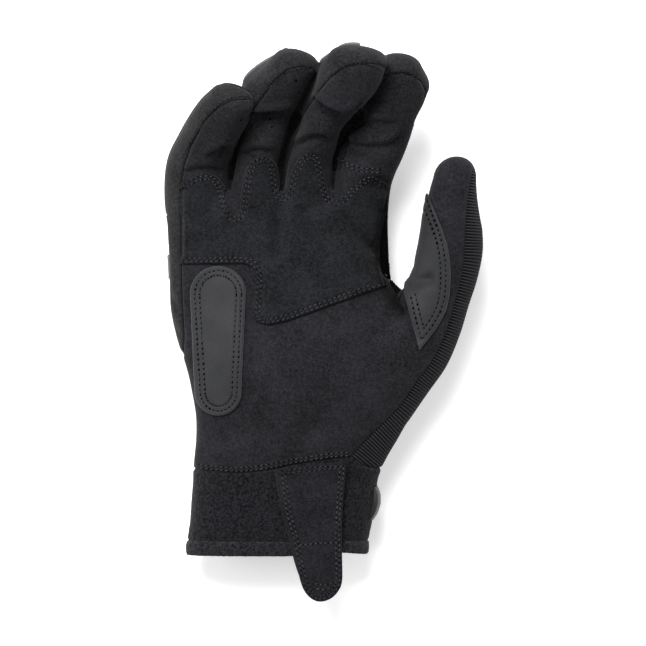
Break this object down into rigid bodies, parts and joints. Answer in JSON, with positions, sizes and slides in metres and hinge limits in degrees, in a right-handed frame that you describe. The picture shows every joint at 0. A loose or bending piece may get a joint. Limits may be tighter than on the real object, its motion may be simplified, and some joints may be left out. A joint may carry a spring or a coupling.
{
  "type": "shooting glove",
  "caption": "Right-hand suede shooting glove with a scalloped palm overlay, grey palm and thumb patches, ribbed thumb knit, brushed cuff and a pull tab.",
  "frame": {"origin": "bottom centre of the glove's bounding box, on the surface that it lies on", "axes": "+Z out of the palm, which is the thin way through the glove; +Y from the wrist to the fingertips, which is the long way; +X towards the thumb"},
  "size_m": [0.1466, 0.2552, 0.0672],
  "materials": {
    "suede": "matt synthetic suede",
    "overlay_suede": "matt synthetic suede, darker",
    "grey_patch": "matt, fine grain",
    "ribbed_knit": "ribbed knit",
    "back_knit": "plain stretch knit",
    "brushed_cuff": "brushed fleece",
    "guard_grey": "matt moulded foam skin",
    "strap_web": "woven strap",
    "strap_end_grey": "smooth moulded rubber"
  },
  "bodies": {
    "root": {"little_finger_front": "suede", "ring_finger_front": "suede", "middle_finger_front": "suede", "index_finger_front": "suede", "thumb_front": "suede", "palm_panel": "suede", "outer_side_strip": "suede", "pull_tab": "suede", "pull_tab_backing": "suede", "upper_palm_overlay": "overlay_suede", "heel_patch": "grey_patch", "thumb_crotch_patch": "grey_patch", "thumb_knit": "ribbed_knit", "little_finger_back": "back_knit", "ring_finger_back": "back_knit", "middle_finger_back": "back_knit", "index_finger_back": "back_knit", "back_panel": "back_knit", "cuff_band": "brushed_cuff", "cuff_hem": "brushed_cuff", "knuckle_guard": "guard_grey", "ring_finger_pad": "guard_grey", "middle_finger_pad": "guard_grey", "wrist_strap": "strap_web", "strap_end": "strap_end_grey"}
  },
  "joints": []
}
